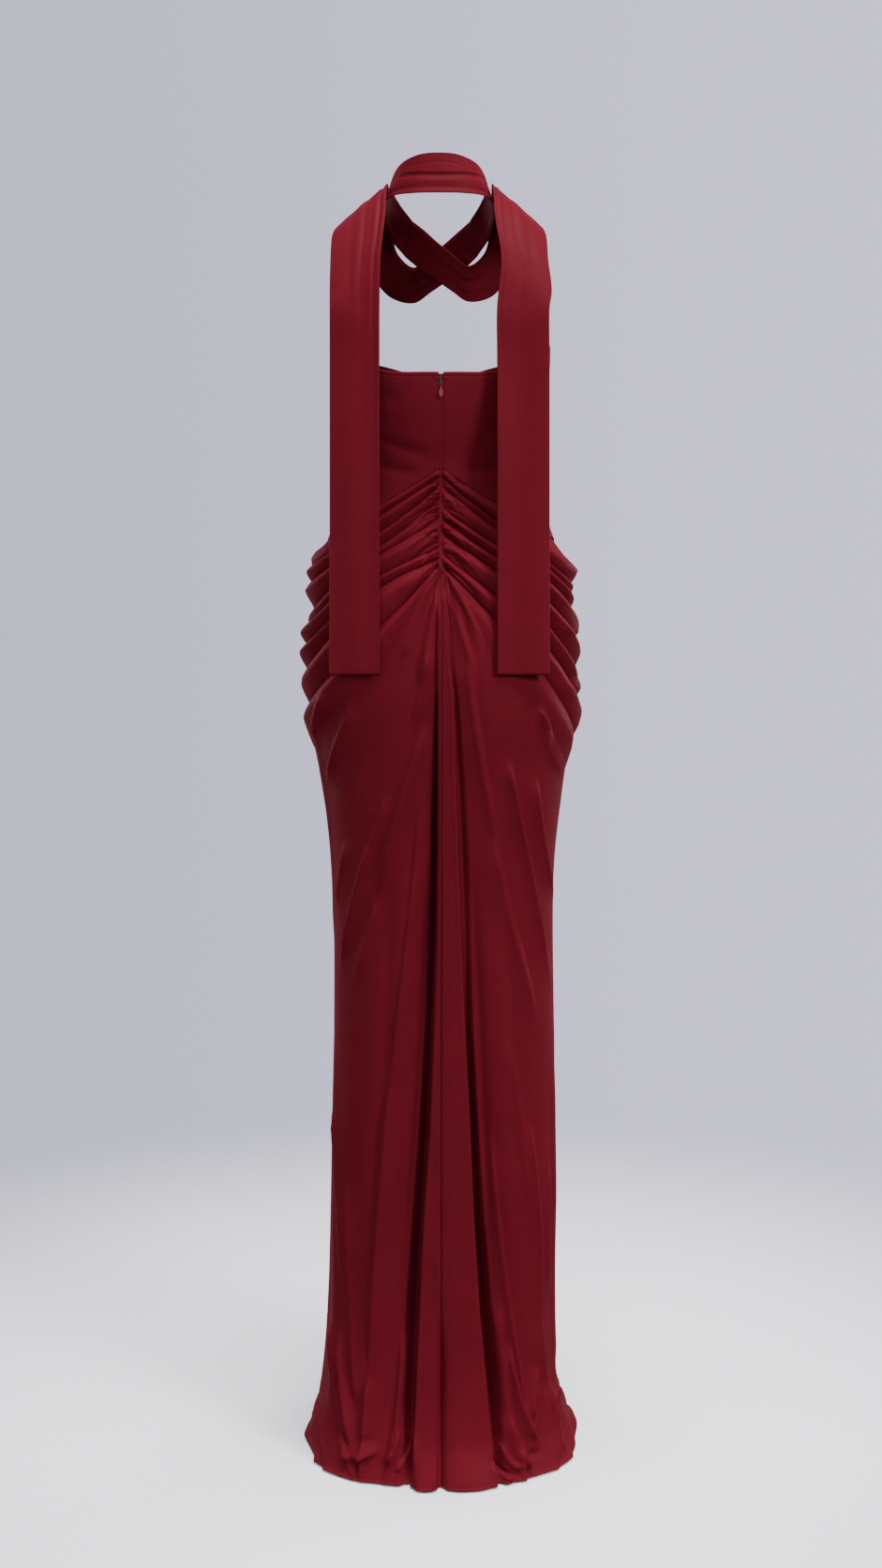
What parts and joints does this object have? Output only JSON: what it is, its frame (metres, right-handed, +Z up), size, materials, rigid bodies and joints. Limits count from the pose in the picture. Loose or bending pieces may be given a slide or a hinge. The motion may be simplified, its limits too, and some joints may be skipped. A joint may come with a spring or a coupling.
{
  "type": "maxi dress, strapless with a centre-back zip, draped hips and a scarf",
  "caption": "Floor-length draped jersey dress, hollow as worn, with a strapless zipped bodice, swagged hips, long back pleats and a scarf hanging down the back.",
  "frame": {"origin": "on the body's axis at the level where the wearer's ribs and bust hold the bodice, 1280 mm above the hem's floor", "axes": "+Z up; the dress's front faces -Y and its back with the zip faces +Y; +X is the wearer's left"},
  "size_m": [0.3509, 0.3105, 1.6022],
  "materials": {
    "jersey": "matte crepe jersey, deep burgundy",
    "zip_metal": "satin lacquer, matched to the cloth",
    "zip_chain": "matte nylon, matched to the cloth"
  },
  "bodies": {
    "dress": {"skirt_back_left": "jersey", "skirt_back_right": "jersey", "skirt_front": "jersey", "bodice_back_left": "jersey", "bodice_back_right": "jersey", "bodice_front": "jersey", "scarf_neck": "jersey", "scarf_left": "jersey", "scarf_right": "jersey", "zip_chain": "zip_chain", "zip_slider": "zip_metal"},
    "pull": {"zip_pull": "zip_metal"}
  },
  "joints": [
    {"name": "pull_swing", "type": "hinge", "parent": "dress", "child": "pull", "pos_m": [0, 0.10824, 0.02645], "axis": [1, 0, 0], "range_deg": [0, 170]}
  ]
}
